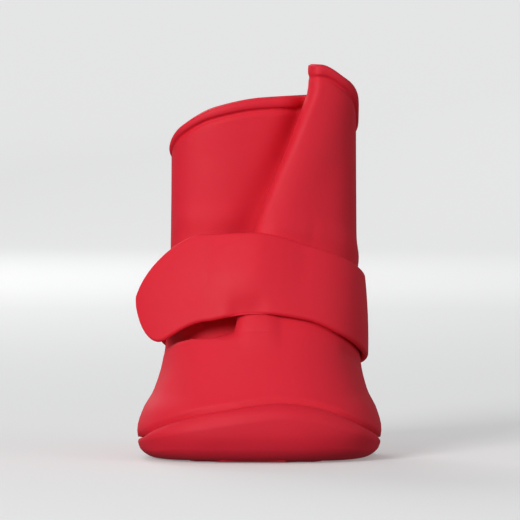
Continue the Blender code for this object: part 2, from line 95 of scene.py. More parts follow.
# The fold. edge: x of its free edge. turn: how far each bend turns, in degrees. tuck: the flat
# run between the two bends.
FOLD_COLUMNS = ("height", "edge", "turn", "tuck")
FOLDS = (
    (25.3, -4.7, 0.0, 3.0),
    (25.9, -4.5, 26.0, 3.0),
    (26.6, -4.3, 84.0, 3.1),
    (27.5, -4.1, 100.0, 3.2),
    (33.0, -3.3, 114.0, 3.4),
    (40.0, -2.4, 134.0, 3.6),
    (50.0, -0.4, 158.0, 4.0),
    (58.0, 2.5, 168.0, 4.5),
    (66.0, 5.8, 172.0, 4.8),
    (74.5, 9.1, 173.0, 4.8),
    (78.5, 10.6, 173.0, 4.8),
    (81.0, 10.9, 173.0, 4.8),
    (88.0, 10.9, 173.0, 4.8),
)
# The flap swells beside its free edge. rise: how far, at the place where it stands proudest.
# width: how far from there the swelling has fallen to a third. trough: how much deeper the wall
# lies beside the fold.
ROLL_COLUMNS = ("height", "rise", "width", "trough")
ROLL = (
    (27.0, 0.1, 4.4, 0.0),
    (31.0, 1.2, 4.6, 0.1),
    (36.0, 1.8, 6.0, 0.1),
    (44.0, 2.1, 7.0, 0.1),
    (52.0, 2.0, 7.0, 0.25),
    (59.0, 1.6, 6.2, 0.75),
    (66.0, 1.3, 6.6, 1.6),
    (74.0, 0.9, 7.6, 2.1),
    (84.0, 0.5, 8.5, 2.0),
)
ROLL_PLACE = 1.8         # from the free edge to where the flap stands proudest
TROUGH_PLACE = 6.2       # from the fold's last bend to where the trough starts to fade
TROUGH_WIDTH = 3.4
TROUGH_FULL_AT = 3.0     # depth of the fold from which the trough has its full depth
FOLD_BEND = 3.3          # length of wall in each bend
FOLD_LEAD = 1.8          # from the first bend's start to the free edge
FOLD_DIP = 5.6           # how much lower the hollow reaches at the outer side
FOLD_DIP_POWER = 1.6
HOLLOW_POWER = 1.35      # how soon the hollow comes back to the outline
POCKET_HEIGHT = 26.6
POCKET_DEPTH = 3.0
POCKET_REACH = 1.3
POCKET_FULL_AT = 2.0     # depth of the hollow from which the pocket has its full depth

# station: 0 back of the heel, 1 start of the fold, 2 end of the fold, 3 back of the heel again.
COLLAR_COLUMNS = ("station", "height")
COLLAR = (
    (0.00, 70.0),
    (0.30, 69.6),
    (0.55, 72.5),
    (0.72, 78.0),
    (0.86, 81.6),
    (1.00, 84.3),
    (1.30, 84.4),
    (1.65, 80.5),
    (2.00, 78.0),
    (2.24, 77.2),
    (2.38, 75.2),
    (2.48, 71.4),
    (2.56, 67.2),
    (2.66, 65.6),
    (2.84, 67.6),
    (3.00, 70.0),
)

# How finely the shell is cut: steps of the outline, stations round the wall, level slices.
OUTLINE_STEPS = 1440
BACK_STEPS = 130
BEND_STEPS = 14
TUCK_STEPS = 6
FRONT_STEPS = 140
SLICE_STEP = 0.25


def read_table(columns, rows, at, name):
    """One named column read by the first one, on a monotone cubic curve through the rows."""
    x = np.array([row[0] for row in rows])
    y = np.array([row[columns.index(name)] for row in rows])
    step = np.diff(x)
    slope = np.diff(y) / step
    before, after = slope[:-1], slope[1:]
    same_way = before * after > 0
    safe = np.where(same_way, before + after, 1.0)
    middle = np.where(same_way, 2 * before * after / safe, 0.0)
    tangent = np.concatenate([slope[:1], middle, slope[-1:]])
    place = np.clip(np.asarray(at, dtype=float), x[0], x[-1])
    i = np.clip(np.searchsorted(x, place, side="right") - 1, 0, len(x) - 2)
    t = (place - x[i]) / step[i]
    start = (1 + 2 * t) * (1 - t) ** 2 * y[i] + t * (1 - t) ** 2 * step[i] * tangent[i]
    end = t * t * (3 - 2 * t) * y[i + 1] + t * t * (t - 1) * step[i] * tangent[i + 1]
    return start + end


def ease(t):
    """0 to 1 with level ends."""
    t = np.clip(t, 0.0, 1.0)
    return t * t * (3 - 2 * t)


def unit(vectors):
    """Vectors brought to length 1."""
    return vectors / np.linalg.norm(vectors, axis=-1, keepdims=True)


def outline(turn, height):
    """Point and outward normal of the last's outline, by the angle turned from the heel.

    Each level section is two half superellipses that share their widest line, one to the toe and
    one to the heel: across = width * sin^(2/corner), along = reach * cos^(2/corner).
    """
    height = np.asarray(height, dtype=float)
    above = 1 + (height - INSTEP_HEIGHT) / (COLLAR_HEIGHT - INSTEP_HEIGHT)
    level = np.where(height < INSTEP_HEIGHT, height / INSTEP_HEIGHT, above)
    toe, ball, heel, width, corner = (
        read_table(SECTION_COLUMNS, SECTIONS, level, name) for name in SECTION_COLUMNS[1:]
    )
    sine, cosine = np.sin(turn), np.cos(turn)
    middle = TOE_TIP + FOOT_LENGTH * ball
    reach = FOOT_LENGTH * np.where(cosine > 0, heel - ball, ball - toe)
    half_width = BALL_WIDTH / 2 * width
    power = 2 / corner
    across = np.sign(sine) * np.abs(sine) ** power
    along = np.sign(cosine) * np.abs(cosine) ** power
    point = np.stack([half_width * across, middle + reach * along], axis=-1)
    normal_x = np.sign(sine) * np.abs(sine) ** (2 - power) / half_width
    normal_y = np.sign(cosine) * np.abs(cosine) ** (2 - power) / reach
    return point, unit(np.stack([normal_x, normal_y], axis=-1))


def fold_path(heights):
    """The fold at each height, as distances along the outline and inward from it.

    The wall's heading rises evenly over the first bend, holds over the tuck, and falls evenly
    over the second bend; along and inward are the running sums of its cosine and sine.
    """
    turn = np.radians(read_table(FOLD_COLUMNS, FOLDS, heights, "turn"))[:, None]
    tuck = read_table(FOLD_COLUMNS, FOLDS, heights, "tuck")[:, None]
    bend = np.linspace(0.0, 1.0, BEND_STEPS + 1)[None, :]
    flat = np.linspace(0.0, 1.0, TUCK_STEPS + 1)[None, 1:-1]
    first = bend * FOLD_BEND + 0 * tuck
    second = FOLD_BEND + tuck + bend * FOLD_BEND
    run = np.concatenate([first, FOLD_BEND + flat * tuck, second], axis=1)
    heading = turn * np.concatenate([bend, np.ones_like(flat), 1 - bend], axis=1)
    middle = (heading[:, 1:] + heading[:, :-1]) / 2
    pace = np.diff(run, axis=1)
    start = np.zeros_like(turn)
    along = np.concatenate([start, np.cumsum(np.cos(middle) * pace, axis=1)], axis=1)
    inward = np.concatenate([start, np.cumsum(np.sin(middle) * pace, axis=1)], axis=1)
    return along, inward


def row_interp(at, x, y):
    """np.interp for each row of a table."""
    return np.stack([np.interp(a, b, c) for a, b, c in zip(at, x, y)])


def wall_slices(heights):
    """Middle of the wall at level heights, slice by slice and station by station.

    The outline is walked by its own length from the back of the heel over the inner side. At the
    fold the walk follows fold_path, and the flap beside it swells. Past the fold the wall lies
    hollow by the fold's depth; the hollow reaches lower towards the outer side, where it comes
    back to the outline. A soft trough runs from under the fold to beside it, and the fold's
    lower end is a pocket whose floor hangs below its lip.
    """
    turn = np.linspace(0.0, 2 * np.pi, OUTLINE_STEPS + 1)[None, :]
    point, normal = outline(turn, heights[:, None])
    point = point - normal * WALL / 2
    pace = np.linalg.norm(np.diff(point, axis=1), axis=-1)
    length = np.concatenate([np.zeros((len(heights), 1)), np.cumsum(pace, axis=1)], axis=1)
    inner, outer = OUTLINE_STEPS // 4, OUTLINE_STEPS * 3 // 4
    edge = read_table(FOLD_COLUMNS, FOLDS, heights, "edge")
    start = row_interp(
        -(edge + FOLD_LEAD)[:, None], -point[:, inner:outer, 0], length[:, inner:outer]
    )
    along, inward = fold_path(heights)
    along = start + along
    bend_end = along[:, -1:]
    front = np.linspace(0.0, 1.0, FRONT_STEPS + 1)[None, 1:-1]
    back = start * np.linspace(0.0, 1.0, BACK_STEPS + 1)[None, :-1]
    rest = bend_end + (length[:, -1:] - bend_end) * front
    settled = np.clip((rest - bend_end) / (length[:, outer : outer + 1] - bend_end), 0, 1)
    fall = FOLD_DIP * settled**FOLD_DIP_POWER
    hollow = np.interp(heights[:, None] + fall, heights, inward[:, -1])
    share = (1 - ease(settled)) ** HOLLOW_POWER
    present = np.minimum(hollow / TROUGH_FULL_AT, 1)
    rise, width, trough = (
        read_table(ROLL_COLUMNS, ROLL, heights, name)[:, None] for name in ROLL_COLUMNS[1:]
    )
    beyond = np.maximum(rest - bend_end - TROUGH_PLACE, 0)
    beside = np.exp(-((beyond / TROUGH_WIDTH) ** 2))
    depth = hollow * share + trough * beside * present
    into_pocket = (heights[:, None] + fall - POCKET_HEIGHT) / POCKET_REACH
    open_share = np.minimum(hollow * share / POCKET_FULL_AT, 1)
    pocket = POCKET_DEPTH * np.exp(-(into_pocket**2)) * open_share
    held = ease(np.linspace(1, -1, along.shape[1])[None, :])
    swell_back = rise * np.exp(-(((start - back - ROLL_PLACE) / width) ** 2))
    swell_fold = rise * np.exp(-(((start - along - ROLL_PLACE) / width) ** 2)) * held
    sink_fold = inward - swell_fold + trough * present[:, :1] * (1 - held)
    pocket_fold = pocket[:, :1] * ease(np.linspace(-1, 1, along.shape[1]))[None, :]
    place = np.concatenate([back, along, rest], axis=1)
    sunk = np.concatenate([-swell_back, sink_fold, depth], axis=1)
    dropped = np.concatenate([0 * back, pocket_fold, pocket], axis=1)
    plan = np.stack([row_interp(place, length, point[:, :, k]) for k in (0, 1)], axis=-1)
    out = unit(np.stack([row_interp(place, length, normal[:, :, k]) for k in (0, 1)], axis=-1))
    plan = plan - out * sunk[..., None]
    return np.concatenate([plan, (heights[:, None] - dropped)[..., None]], axis=-1)


station = np.concatenate(
    [
        np.linspace(0, 1, BACK_STEPS + 1)[:-1],
        np.linspace(1, 2, 2 * BEND_STEPS + TUCK_STEPS + 1),
        np.linspace(2, 3, FRONT_STEPS + 1)[1:-1],
    ]
)
slice_heights = np.arange(0.0, 91.0, SLICE_STEP)
slices = wall_slices(slice_heights)


def wall_at(heights):
    """Middle of the wall where each station's row passes a given height, between two slices."""
    place = np.clip(heights / SLICE_STEP, 0, len(slice_heights) - 1.001)
    low = place.astype(int)
    part = (place - low)[..., None]
    column = np.arange(len(station))[None, :]
    return slices[low, column] * (1 - part) + slices[low + 1, column] * part


def grid_out(points):
    """Outward unit normals of a grid of rows that run round: up the rows, crossed with along."""
    round_about = np.roll(points, -1, axis=1) - np.roll(points, 1, axis=1)
    return unit(np.cross(np.gradient(points, axis=0), round_about))


# Creases and swellings of the soft wall, each a soft line between two places on the boot.
# depth is negative for a trough, and width is where it has fallen to a third.
CREASE_END = 0.25        # part of its length over which a line fades, on each side of its end
CREASE_COLUMNS = ("from", "to", "width", "depth")
CREASES = (
    # swelling over the strap, where it pinches the shaft
    ((-17.0, 1.2, 51.0), (-5.0, -1.0, 51.2), 2.6, 0.6),
    ((2.0, -7.3, 49.8), (10.0, -5.2, 48.4), 2.5, 0.7),
    ((10.0, -5.2, 48.4), (18.3, 3.0, 45.2), 2.5, 0.6),
    ((18.3, 3.0, 45.2), (19.3, 11.0, 41.9), 2.6, 0.45),
    ((19.3, 11.0, 41.9), (10.0, 24.6, 39.4), 2.6, 0.4),
    ((10.0, 24.6, 39.4), (-14.0, 22.3, 40.6), 2.6, 0.4),
    # the fold's corner pushes the vamp out against the strap's lower edge
    ((-2.5, -15.0, 27.8), (4.0, -15.0, 28.4), 4.4, 0.7),
    # slack wrinkles under the strap at the inner side of the ankle
    ((21.5, 2.0, 19.0), (18.5, -8.5, 23.0), 1.6, -0.35),
    ((21.5, 14.0, 15.0), (21.3, 5.0, 17.5), 1.4, -0.26),
    # dents over the heel from pulling the boot on
    ((-12.0, 27.0, 60.0), (9.0, 27.0, 57.0), 4.5, -0.35),
    ((-9.0, 26.0, 15.5), (12.0, 25.5, 14.5), 1.8, -0.22),
)


def crease_depth(points):
    """How far the wall is moved out by all creases: a bell across each line, eased at its ends."""
    moved = np.zeros(points.shape[:-1])
    for row in CREASES:
        start, end, width, depth = (row[CREASE_COLUMNS.index(name)] for name in CREASE_COLUMNS)
        line = np.array(end) - np.array(start)
        part = ((points - start) @ line) / (line @ line)
        nearest = start + np.clip(part, 0, 1)[..., None] * line
        gap = np.linalg.norm(points - nearest, axis=-1)
        fade_in = ease((part + CREASE_END) / (2 * CREASE_END))
        fade = fade_in * ease((1 + CREASE_END - part) / (2 * CREASE_END))
        moved += depth * fade * np.exp(-((gap / width) ** 2))
    return moved


def upper_sides(heights, outward, inward):
    """Outer and inner surface: the wall's creased middle, moved out and in square to itself."""
    middle = wall_at(heights)
    middle = middle + grid_out(middle) * crease_depth(middle)[..., None]
    out = grid_out(middle)
    return middle + out * outward[..., None], middle + out * inward[..., None]


def grid_faces(rows, columns, wrap_rows):
    """Quads of a grid whose columns run round; wrap_rows also joins the last row to the first."""
    i = np.arange(rows if wrap_rows else rows - 1)[:, None] * columns
    above = (i + columns) % (rows * columns)
    j = np.arange(columns)[None, :]
    k = (j + 1) % columns
    return np.stack([i + j, above + j, above + k, i + k], axis=-1).reshape(-1, 4)


def make_piece(name, points, faces, material):
    """One object from points in millimetres, shaded smooth, with its place in its mesh."""
    mesh = bpy.data.meshes.new(name)
    mesh.from_pydata((np.asarray(points).reshape(-1, 3) * 0.001).tolist(), [], faces)
    mesh.validate()
    mesh.materials.append(material)
    mesh.shade_smooth()
    piece = bpy.data.objects.new(name, mesh)
    bpy.context.scene.collection.objects.link(piece)
    return piece


def linear(code):
    """sRGB hex colour as linear RGBA."""
    parts = np.array([int(code[k : k + 2], 16) for k in (1, 3, 5)]) / 255
    values = np.where(parts <= 0.04045, parts / 12.92, ((parts + 0.055) / 1.055) ** 2.4)
    return (*values, 1.0)


def add_node(tree, kind, settings, links=()):
    """Add a node; a setting names an attribute or an input, a link an input and what feeds it."""
    node = tree.nodes.new(kind)
    for name, value in settings.items():
        if hasattr(node, name):
            setattr(node, name, value)
        else:
            node.inputs[name].default_value = value
    for name, source in dict(links).items():
        tree.links.new(source, node.inputs[name])
    return node


# Metres, as the shader reads them. The mould's blasted grain is about 0.1 mm; it is drawn
# coarser so that it shows as a soft break-up of the highlights.
GRAIN_SIZE = 0.0005
SHRINKAGE_SIZE = 0.009
SATIN_ROUGHNESS = 0.68


def rubber(name, colour, worn):
    """Injection-moulded soft PVC: satin from a blasted mould, and a little see-through.

    The skin's shrinkage makes it slowly uneven in height, in gloss and between two near reds,
    which keeps broad faces from looking painted.
    """
    material = bpy.data.materials.new(name)
    material.use_nodes = True
    tree = material.node_tree
    shader = tree.nodes["Principled BSDF"]
    place = add_node(tree, "ShaderNodeTexCoord", {}).outputs["Object"]
    grain = add_node(
        tree, "ShaderNodeTexNoise", {"Scale": 1 / GRAIN_SIZE, "Detail": 3.0, "Roughness": 0.55},
        {"Vector": place},
    )
    slow = add_node(
        tree, "ShaderNodeTexNoise", {"Scale": 1 / SHRINKAGE_SIZE, "Detail": 2.0, "Roughness": 0.5},
        {"Vector": place},
    )
    tint = add_node(
        tree, "ShaderNodeMix", {"data_type": "RGBA"}, {"Factor": slow.outputs["Fac"]}
    )
    tint.inputs["A"].default_value = linear(colour)
    tint.inputs["B"].default_value = linear(worn)
    gloss = add_node(
        tree, "ShaderNodeMapRange",
        {
            "From Min": 0.3, "From Max": 0.7,
            "To Min": SATIN_ROUGHNESS - 0.05, "To Max": SATIN_ROUGHNESS + 0.07,
        },
        {"Value": slow.outputs["Fac"]},
    )
    skin = add_node(
        tree, "ShaderNodeBump", {"Strength": 0.35, "Distance": 0.00012},
        {"Height": slow.outputs["Fac"]},
    )
    fine = add_node(
        tree, "ShaderNodeBump", {"Strength": 0.22, "Distance": 0.00004},
        {"Height": grain.outputs["Fac"], "Normal": skin.outputs["Normal"]},
    )
    tree.links.new(tint.outputs["Result"], shader.inputs["Base Color"])
    tree.links.new(gloss.outputs["Result"], shader.inputs["Roughness"])
    tree.links.new(fine.outputs["Normal"], shader.inputs["Normal"])
    shader.inputs["IOR"].default_value = 1.53
    shader.inputs["Specular IOR Level"].default_value = 0.33
    shader.inputs["Subsurface Weight"].default_value = 0.2
    shader.inputs["Subsurface Radius"].default_value = (1.0, 0.12, 0.08)
    shader.inputs["Subsurface Scale"].default_value = 0.0018
    return material


# Cup wall of the sole that the upper stands in, and the joggle by which the upper's foot steps in
# behind it. bearing: degrees from the toe, seen from the ball of the foot.
PLATE_TOP = 2.4
RAND_PROUD = 0.4
RAND_WALL = 1.35
JOGGLE = RAND_WALL - RAND_PROUD + FIT_GAP
JOGGLE_TOP = 0.1
JOGGLE_SLOPE = 0.5
BALL_LEVEL = 6.0
RAND_COLUMNS = ("bearing", "height")
RAND = (
    (-180.0, 3.4),
    (-115.0, 3.4),
    (-90.0, 3.8),
    (-67.0, 4.9),
    (-51.0, 7.3),
    (-34.0, 9.6),
    (-21.0, 10.8),
    (-9.0, 11.7),
    (3.0, 12.4),
    (15.0, 12.8),
    (27.0, 12.4),
    (37.0, 11.5),
    (52.0, 9.1),
    (67.0, 6.5),
    (90.0, 4.1),
    (115.0, 3.4),
    (180.0, 3.4),
)
foot_ring = wall_at(np.full((1, len(station)), BALL_LEVEL))[0]
ball_section = dict(zip(SECTION_COLUMNS, SECTIONS[2]))
ball_y = TOE_TIP + FOOT_LENGTH * ball_section["ball"]
bearing = np.degrees(np.arctan2(foot_ring[:, 0], ball_y - foot_ring[:, 1]))
rand = read_table(RAND_COLUMNS, RAND, bearing, "height")
collar = read_table(COLLAR_COLUMNS, COLLAR, station, "height")

BEAD_HEIGHT = 2.1
BEAD_PROUD = 0.5
BEAD_PROUD_INSIDE = 0.3
BEAD_LEFT_AT_FOLD = 0.3
BEAD_FLAT_AT = 1.35      # station in the fold's tuck where the bead is flattest
BEAD_FLAT_WIDTH = 0.42
BEAD_FLAT_CORE = 0.35
GROOVE_HEIGHT = 1.1
GROOVE_DEPTH = 0.4
RIM_CROWN = 0.3
RIM_SETTLE = 0.25        # how far the rim sinks, building up over RIM_SETTLE_OVER of height
RIM_SETTLE_OVER = 10.0
SHOULDER = 18.0
POCKET_LOW = 21.0        # rows are closest together between these two heights
POCKET_HIGH = 29.0
SHAFT_LEVEL = 60.0


def upper_rows():
    """Heights, outward reach of the outside, and of the inside, for each row from foot to rim.

    Rows follow the cup wall's edge at the foot, are level up the shaft, and follow the collar
    at the top. The rim is a half-round bead over a shallow groove.
    """
    one = np.ones(len(station))
    floor = PLATE_TOP + FIT_GAP
    tucked = floor + (rand + JOGGLE_TOP - floor) * np.linspace(0, 1, 4)[:, None]
    over = rand + JOGGLE_TOP + JOGGLE_SLOPE
    foot = over + (SHOULDER - over) * np.linspace(0, 1, 12)[:, None]
    vamp = np.arange(SHOULDER + 0.5, POCKET_LOW, 0.5)
    beside_pocket = np.arange(POCKET_LOW, POCKET_HIGH, 0.2)
    leg = np.arange(POCKET_HIGH, SHAFT_LEVEL, 0.9)
    shaft = np.concatenate([vamp, beside_pocket, leg])[:, None] * one
    base = collar - BEAD_HEIGHT - GROOVE_HEIGHT
    top = SHAFT_LEVEL + (base - SHAFT_LEVEL) * np.linspace(0, 1, 15)[:, None]
    dip = np.linspace(0, 1, 6)[1:, None]
    groove = base + GROOVE_HEIGHT * dip * one
    round_turn = np.linspace(-np.pi / 2, np.pi / 2, 14)[1:, None]
    bead = collar - BEAD_HEIGHT / 2 * (1 - np.sin(round_turn))
    heights = np.concatenate([tucked, foot, shaft, top, groove, bead])
    kept = np.clip(np.abs(station - BEAD_FLAT_AT) / BEAD_FLAT_WIDTH - BEAD_FLAT_CORE, 0, 1)
    kept = BEAD_LEFT_AT_FOLD + (1 - BEAD_LEFT_AT_FOLD) * ease(kept)
    plain = np.zeros((len(foot) + len(shaft) + len(top), 1)) * one
    sunk = np.full((len(tucked), 1), -JOGGLE) * one
    groove_in = -GROOVE_DEPTH * np.sin(np.pi * dip) * kept
    bead_out = np.cos(round_turn) * kept
    outside = np.concatenate([sunk, plain, groove_in, BEAD_PROUD * bead_out])
    inside = np.concatenate([-sunk, plain, 0 * groove_in, BEAD_PROUD_INSIDE * bead_out])
    return heights, WALL / 2 + outside, -WALL / 2 - inside


upper_heights, upper_outside, upper_inside = upper_rows()
outer_wall, inner_wall = upper_sides(upper_heights, upper_outside, upper_inside)
rim_side = np.linspace(0, 1, 8)[1:-1, None, None]
rim_top = outer_wall[-1] * (1 - rim_side) + inner_wall[-1] * rim_side
rim_top[..., 2] += RIM_CROWN * np.sin(np.pi * rim_side[..., 0])
upper_grid = np.concatenate([outer_wall, rim_top, inner_wall[::-1]])
upper_grid[..., 2] -= RIM_SETTLE * ease((upper_grid[..., 2] - SHAFT_LEVEL) / RIM_SETTLE_OVER)
upper_rubber = rubber("injection_moulded_satin_pvc_upper", "#e01b30", "#e62138")
upper = make_piece(
    "upper_shell", upper_grid, grid_faces(len(upper_grid), len(station), True), upper_rubber
)
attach(upper, "root")
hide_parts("upper")

# ----------------------------------------------------------------------------------------------
# Outsole. A cup of firmer PVC rubber that the upper is set into: a low wall round the side and
# heel that rises as a rand over the toe, with a rolled lip, and a plate with cross lugs below.
# ----------------------------------------------------------------------------------------------

TREAD_DEPTH = 1.2
RIM_BOTTOM = 0.3
RIM_INSIDE = 3.9         # the flat rim under the edge, inward from the wall: its inner border,
RIM_AT_SIDE = 1.8        # its outer border at the side and the heel,
RIM_AT_TOE = 2.2         # and its outer border at the toe
RIM_LEDGE = 0.35
EDGE_PART = 0.29         # height of the rounded bottom edge, as part of the rand's height
EDGE_LOW = 1.8
EDGE_HIGH = 3.6
EDGE_TURN = 68.0         # degrees of the ellipse that the edge takes
LIP_HEIGHT = 3.2
LIP_PART = 0.45          # most that the lip takes of the wall above the edge
LIP_PROUD = 0.35
LIP_STEP = 1.3           # how far the lip's top rolls in, at the toe
LIP_STEP_AT_SIDE = 0.5
WAIST = 0.75             # how far the wall draws in below the lip, straight in front
WAIST_REACH = 34.0
SIDE_PROUD = 0.35        # part of the rand's step that the low side wall has
RAND_LOW = 3.2           # rand height where the toe's shape begins
RAND_RISE = 5.0          # and how much higher the rand is where it is complete
CUP_TOP_DROP = 0.1
POLE_PART = 0.12         # size of the smallest ring round a middle point
TOE_SPRING = 0.8
TOE_SPRING_START = -17.0
HEEL_SPRING = 0.6
HEEL_SPRING_START = 17.7
HEEL_SPRING_END = 24.0
ARCH_RISE = 0.6
ARCH_MIDDLE = 5.0
ARCH_REACH = 4.6
FAN_CENTRE = -2.0
LUG_MARGIN = 4.0         # from the ground outline to a bar's end
LUG_ROUND = 0.5
LUG_ROOT = 0.5           # how far a bar is sunk into the plate
LUG_END_POWER = 14       # a bar keeps its height nearly to its ends, and drops there
LUG_END_SOFTNESS = 0.08
LUG_STEPS = 13
LUGS = (
    # front, back: y of each bar's two sides
    (-24.4, -21.8),
    (-19.6, -16.4),
    (-14.0, -10.6),
    (-8.1, -4.7),
    (-2.2, 0.4),
    (9.6, 12.6),
    (14.6, 17.6),
    (18.9, 20.4),
)


def spring(y):
    """How far the tread lifts off the ground: the square of the way to the toe or the heel."""
    toe = np.clip((TOE_SPRING_START - y) / (TOE_SPRING_START - TOE_TIP), 0, 1) ** 2
    heel = np.clip((y - HEEL_SPRING_START) / (HEEL_SPRING_END - HEEL_SPRING_START), 0, 1) ** 2
    return TOE_SPRING * toe + HEEL_SPRING * heel


def plate_bottom(y):
    """Underside of the plate between its lugs: the tread depth, the spring and a round arch."""
    arch = np.clip(1 - ((y - ARCH_MIDDLE) / ARCH_REACH) ** 2, 0, 1)
    return TREAD_DEPTH + spring(y) + ARCH_RISE * ease(arch)


def foot_rows(heights, outward):
    """Rows of points round the foot, set out level from the middle of the upper's wall.

    Out is the row's direction turned a quarter; the step is longer by the wall's lean, so that it
    is measured square to the wall.
    """
    heights = heights + np.zeros((1, len(station)))
    point = wall_at(heights)
    lean = (wall_at(heights + 0.4) - wall_at(np.maximum(heights - 0.4, 0)))[..., :2] / 0.8
    along = np.roll(point, -1, axis=1) - np.roll(point, 1, axis=1)
    out = unit(np.stack([-along[..., 1], along[..., 0]], axis=-1))
    step = outward * np.sqrt(1 + (lean * out).sum(axis=-1) ** 2)
    flat = point[..., :2] + out * step[..., None]
    return np.concatenate([flat, heights[..., None]], axis=-1)


def shrink_to_pole(ring, parts, heights_of):
    """Rings between a ring (part 1) and one middle point (part 0), at heights read from y."""
    pole = np.array([0.0, FAN_CENTRE])
    flat = pole + (ring[None, :, :2] - pole) * parts[:, None, None]
    return np.concatenate([flat, heights_of(flat[..., 1])[..., None]], axis=-1)


def close_pole(points, faces, ring_start, height, flip):
    """Close the ring that starts at a point number with a fan to one middle point."""
    count = len(station)
    j = np.arange(count)
    k = (j + 1) % count
    fan = np.stack([ring_start + j, ring_start + k, np.full(count, len(points))], axis=-1)
    faces += (fan[:, ::-1] if flip else fan).tolist()
    return np.concatenate([points, [[0.0, FAN_CENTRE, height]]])


def outsole_rows():
    """Rings of the cup from the underside, round the edge, up the wall, over its lip, and inside.

    The edge is part of an ellipse, and the wall above it leans out a little to the lip.
    """
    half = WALL / 2
    one = np.ones((1, len(station)))
    toe_share = np.clip((rand - RAND_LOW) / RAND_RISE, 0.0, 1.0)
    rim_inset = RIM_AT_SIDE + (RIM_AT_TOE - RIM_AT_SIDE) * toe_share
    rim_ring = foot_rows(RIM_BOTTOM * one, half - RIM_INSIDE - RIM_LEDGE)[0]
    under = shrink_to_pole(rim_ring, np.linspace(POLE_PART, 1.0, 14), plate_bottom)
    rim = foot_rows(RIM_BOTTOM * np.ones((4, 1)), half - np.linspace(RIM_INSIDE, rim_inset, 4))
    rim[..., 2] = RIM_BOTTOM + spring(rim[..., 1])
    foot = rim[-1][:, 2]
    last = math.radians(EDGE_TURN)
    turn = np.linspace(0, last, 16)[1:, None]
    rounding = np.clip(EDGE_PART * (rand - RIM_BOTTOM), EDGE_LOW, EDGE_HIGH)
    reach = RAND_PROUD * (SIDE_PROUD + (1 - SIDE_PROUD) * toe_share)
    waist = reach - WAIST * toe_share * np.exp(-((bearing / WAIST_REACH) ** 2))
    edge = foot_rows(
        foot + rounding * (1 - np.cos(turn)) / (1 - math.cos(last)),
        half - rim_inset + (rim_inset + waist) * np.sin(turn) / math.sin(last),
    )
    side = foot + rounding
    lip = np.minimum(LIP_HEIGHT, LIP_PART * (rand - side))
    part = np.linspace(0, 1, 18)[1:, None]
    lip_out = reach + LIP_PROUD * toe_share
    wall = foot_rows(
        side + (rand - lip - side) * part, half + waist + (lip_out - waist) * part
    )
    turn = np.linspace(0, np.pi / 2, 11)[1:, None]
    step = LIP_STEP_AT_SIDE + (LIP_STEP - LIP_STEP_AT_SIDE) * toe_share
    bead = foot_rows(
        rand - lip * (1 - np.sin(turn)), half + lip_out - step * (1 - np.cos(turn))
    )
    inner = half + RAND_PROUD - RAND_WALL
    down = np.linspace(1, 0, 6)[:, None]
    inside = foot_rows(
        PLATE_TOP + (rand - CUP_TOP_DROP - PLATE_TOP) * down, inner + 0 * down
    )
    floor = shrink_to_pole(
        inside[-1], np.linspace(0.9, POLE_PART, 6), lambda y: PLATE_TOP + 0 * y
    )
    return np.concatenate([under, rim, edge, wall, bead, inside, floor])


def lug_bar(front, back):
    """One cross bar: a rounded block whose ends follow the ground outline, sunk into the plate.

    Across the boot it is a row of round-cornered sections; each section runs from the plate down
    its front side, round to its ground face, and up its back side.
    """
    ground = dict(zip(SECTION_COLUMNS, SECTIONS[0]))
    lift = float(spring((front + back) / 2))
    turn = np.radians(np.linspace(0, 90, 5))
    down = np.concatenate([[0.0], 1 - LUG_ROUND / TREAD_DEPTH * (1 - np.sin(turn))])
    lean = np.concatenate([[0.0], LUG_ROUND * (1 - np.cos(turn))])
    depth = np.concatenate([down, down[::-1]])
    y = np.concatenate([front + lean, (back - lean)[::-1]])
    middle, front_tip, back_tip = (
        TOE_TIP + FOOT_LENGTH * ground[name] for name in ("ball", "toe", "heel")
    )
    reach = np.where(y > middle, back_tip - middle, middle - front_tip)
    corner = ground["corner"]
    width = BALL_WIDTH / 2 * ground["width"]
    half = width * (1 - np.abs((y - middle) / reach) ** corner) ** (1 / corner) - LUG_MARGIN
    part = np.linspace(-1, 1, LUG_STEPS)[:, None]
    bow = (1 - np.abs(part) ** LUG_END_POWER) ** LUG_END_SOFTNESS
    across = part * (half - LUG_ROUND * depth**3)
    top = TREAD_DEPTH + lift + LUG_ROOT
    height = top - (top - lift) * depth * bow
    return np.stack([across, y + 0 * across, height], axis=-1)


outsole_grid = outsole_rows()
outsole_points = outsole_grid.reshape(-1, 3)
outsole_faces = grid_faces(len(outsole_grid), len(station), False).tolist()
outsole_points = close_pole(
    outsole_points, outsole_faces, 0, float(plate_bottom(FAN_CENTRE)), False
)
last_ring = (len(outsole_grid) - 1) * len(station)
outsole_points = close_pole(outsole_points, outsole_faces, last_ring, PLATE_TOP, True)
for front, back in LUGS:
    bar = lug_bar(front, back)
    first = len(outsole_points)
    size = bar.shape[1]
    bar_faces = grid_faces(len(bar), size, False)[:, ::-1] + first
    outsole_faces += bar_faces.tolist()
    outsole_faces.append((first + np.arange(size))[::-1].tolist())
    outsole_faces.append((first + (len(bar) - 1) * size + np.arange(size)).tolist())
    outsole_points = np.concatenate([outsole_points, bar.reshape(-1, 3)])
sole_rubber = rubber("injection_moulded_satin_pvc_sole", "#dc1a30", "#e22037")
outsole = make_piece("outsole_cup", outsole_points, outsole_faces, sole_rubber)
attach(outsole, "root")
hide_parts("outsole")

# ----------------------------------------------------------------------------------------------
# Insole. A thin die-cut foam footbed with a knitted cloth face, dropped in through the shaft. It
# lies on the plate inside the upper's foot.
# ----------------------------------------------------------------------------------------------

INSOLE_THICKNESS = 1.5
INSOLE_ROUND = 0.5
INSOLE_DIP = 0.35        # how far its face dips, over this part of the way to the middle
INSOLE_DIP_PART = 0.6
# Metres, as the shader reads them. A wave of scale 1 repeats every 0.314 m.
WAVE_LENGTH = 0.314
RIB_SPACING = 0.0008
LOOP_SPACING = 0.0010


